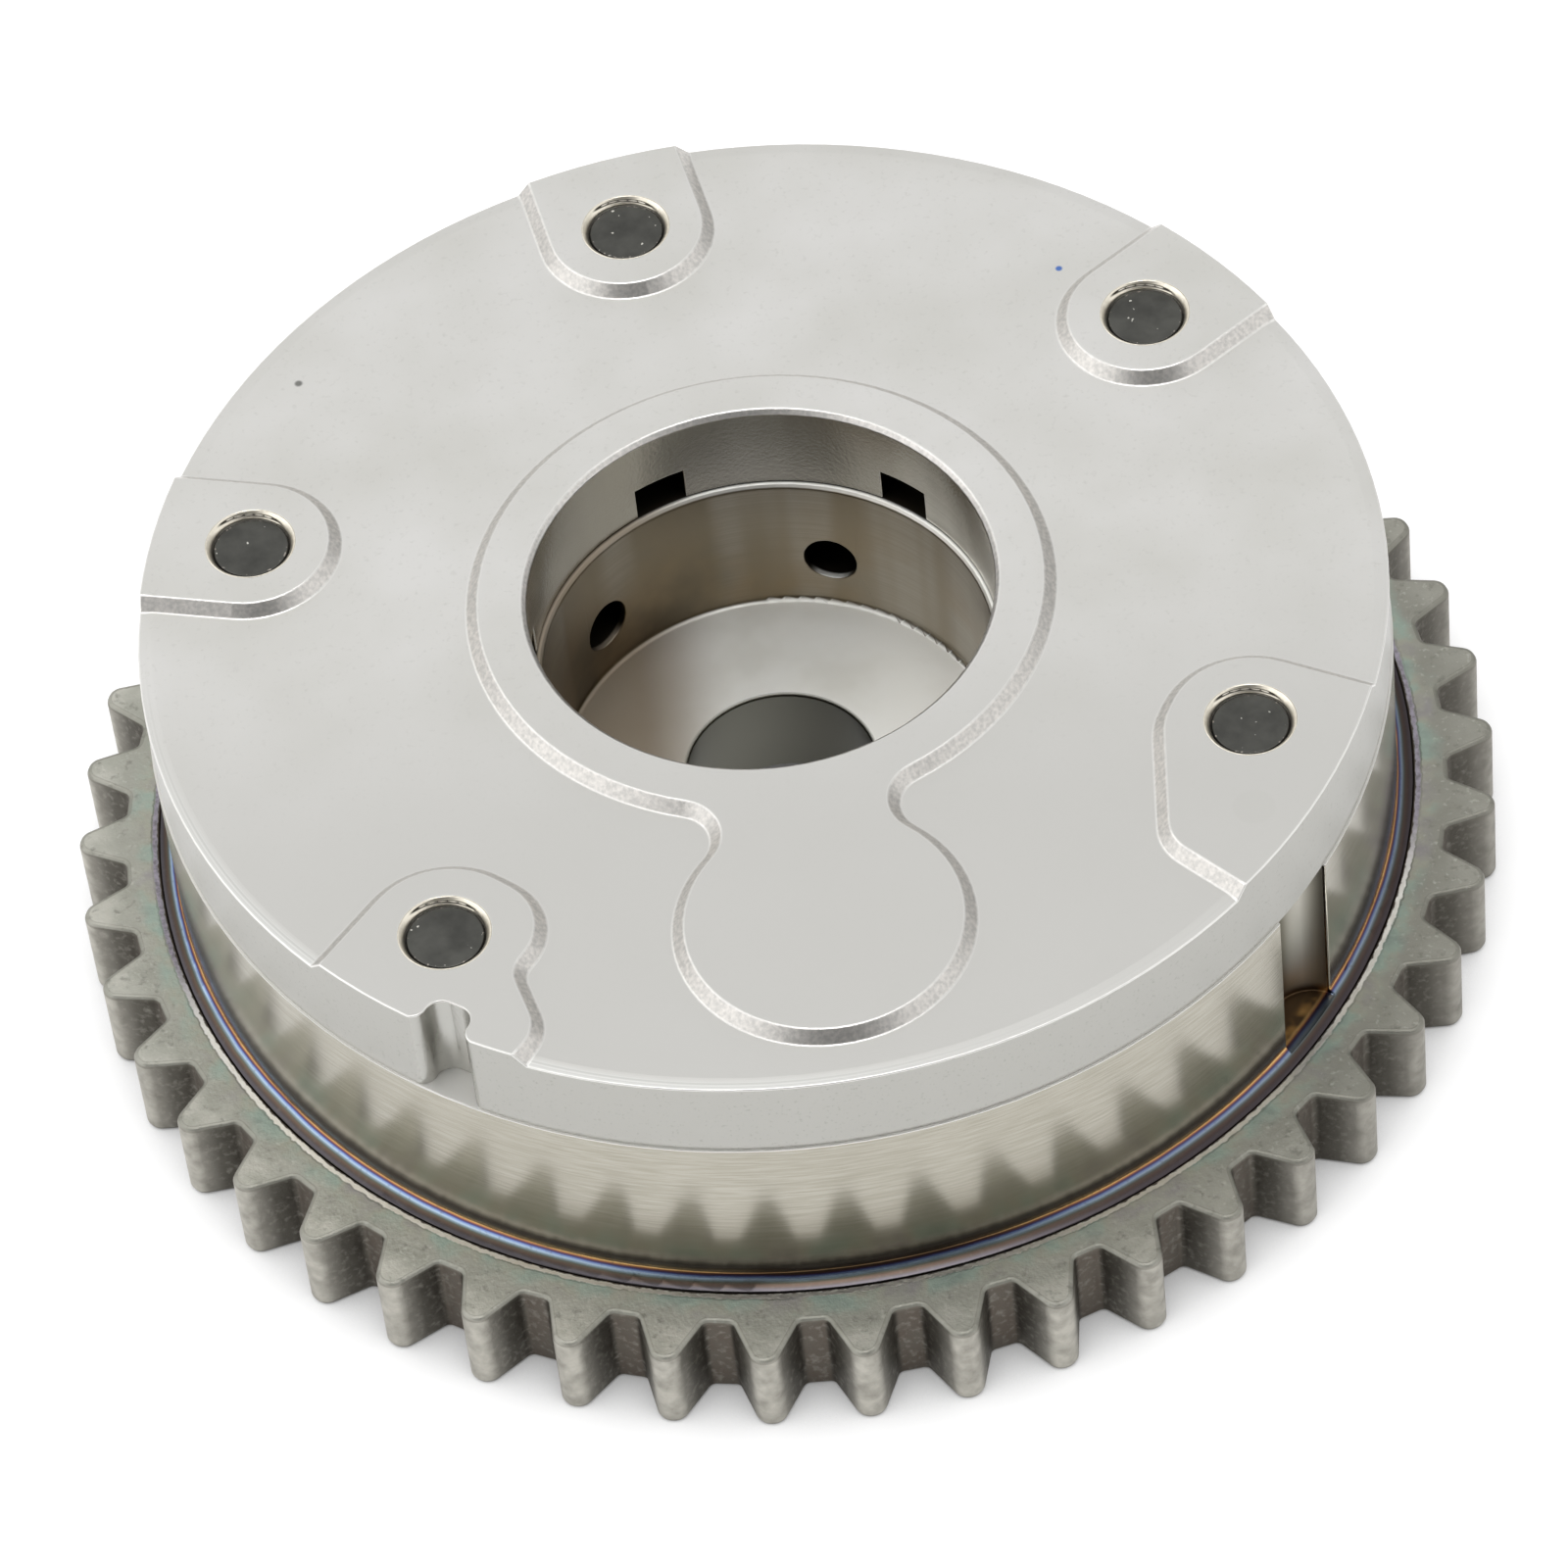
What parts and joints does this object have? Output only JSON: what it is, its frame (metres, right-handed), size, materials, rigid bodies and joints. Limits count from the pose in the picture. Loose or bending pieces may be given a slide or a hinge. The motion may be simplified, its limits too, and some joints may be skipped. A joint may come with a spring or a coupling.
{
  "type": "cam phaser",
  "caption": "Vane-type cam phaser: a silent-chain sprocket on a turned housing, a cast cover with raised pads, and an inner vane rotor with a lock pin.",
  "frame": {"origin": "on the axis of rotation, at the underside of the chain teeth", "axes": "+Z along the axis of rotation towards the camshaft, so the cast cover is on top; -Y towards the round pad over the lock bush"},
  "size_m": [0.093, 0.093, 0.0268],
  "materials": {
    "cast_aluminium": "machined faces on a fine-grained casting, sloped sides left as cast",
    "turned_steel": "turned and shiny, heat-tinted at the neck",
    "sintered_steel": "matte grey sintered steel, steam-treated",
    "rotor_steel": "machined sintered steel",
    "black_oxide_steel": "black oxide",
    "hardened_steel": "ground and hardened",
    "spring_steel": "bright drawn",
    "seal_polymer": "moulded, self-lubricating",
    "retainer_polymer": "moulded, natural colour"
  },
  "bodies": {
    "housing": {"housing": "turned_steel", "sprocket": "sintered_steel", "cam_side_cover": "cast_aluminium", "front_plate": "turned_steel", "cover_bolts": "black_oxide_steel", "cover_dowel": "hardened_steel", "lock_bush": "hardened_steel", "lobe_seal_1": "seal_polymer", "lobe_leaf_1": "spring_steel", "lobe_seal_2": "seal_polymer", "lobe_leaf_2": "spring_steel", "lobe_seal_3": "seal_polymer", "lobe_leaf_3": "spring_steel", "lobe_seal_4": "seal_polymer", "lobe_leaf_4": "spring_steel", "lobe_seal_5": "seal_polymer", "lobe_leaf_5": "spring_steel"},
    "rotor": {"rotor": "rotor_steel", "spring_retainer": "retainer_polymer", "lock_pin_spring": "spring_steel", "vane_seal_1": "seal_polymer", "vane_leaf_1": "spring_steel", "vane_seal_2": "seal_polymer", "vane_leaf_2": "spring_steel", "vane_seal_3": "seal_polymer", "vane_leaf_3": "spring_steel", "vane_seal_4": "seal_polymer", "vane_leaf_4": "spring_steel", "vane_seal_5": "seal_polymer", "vane_leaf_5": "spring_steel"},
    "lock_pin": {"lock_pin": "hardened_steel"}
  },
  "joints": [
    {"name": "rotor_turn", "type": "hinge", "parent": "housing", "child": "rotor", "pos_m": [0, 0, 0.0128], "axis": [0, 0, 1], "range_deg": [-5, 25]},
    {"name": "lock_pin_slide", "type": "slide", "parent": "rotor", "child": "lock_pin", "axis": [0, 0, -1], "range_m": [0, 0.0032], "stiffness_N_per_m": 900, "springref_m": -0.004, "deforming": ["lock_pin_spring"]}
  ]
}
